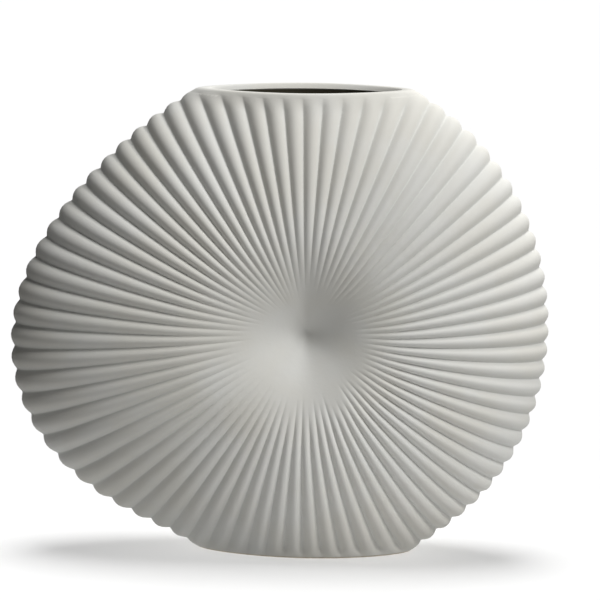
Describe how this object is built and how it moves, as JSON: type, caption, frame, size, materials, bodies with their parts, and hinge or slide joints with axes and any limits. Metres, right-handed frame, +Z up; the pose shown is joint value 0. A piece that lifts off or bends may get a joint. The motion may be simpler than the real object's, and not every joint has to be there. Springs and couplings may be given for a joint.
{
  "type": "fan vase",
  "caption": "Flat-bodied ceramic flower vase with ribs fanning from a dimple in each face over the rim, a narrow slot mouth with a plain lip and a flat base.",
  "frame": {"origin": "middle of the flat base, on the table", "axes": "+Z up out of the mouth, -Y to the front face, +X to the right along the width"},
  "size_m": [0.301, 0.069, 0.2635],
  "materials": {
    "stoneware": "matt off-white",
    "slip": "matt off-white, sponged smooth",
    "bare_clay": "unglazed, wiped clean"
  },
  "bodies": {
    "root": {"front_shell": "stoneware", "back_shell": "stoneware", "slip_seam_left": "slip", "slip_seam_right": "slip", "base_slab": "bare_clay", "mouth_lip": "stoneware"}
  },
  "joints": []
}
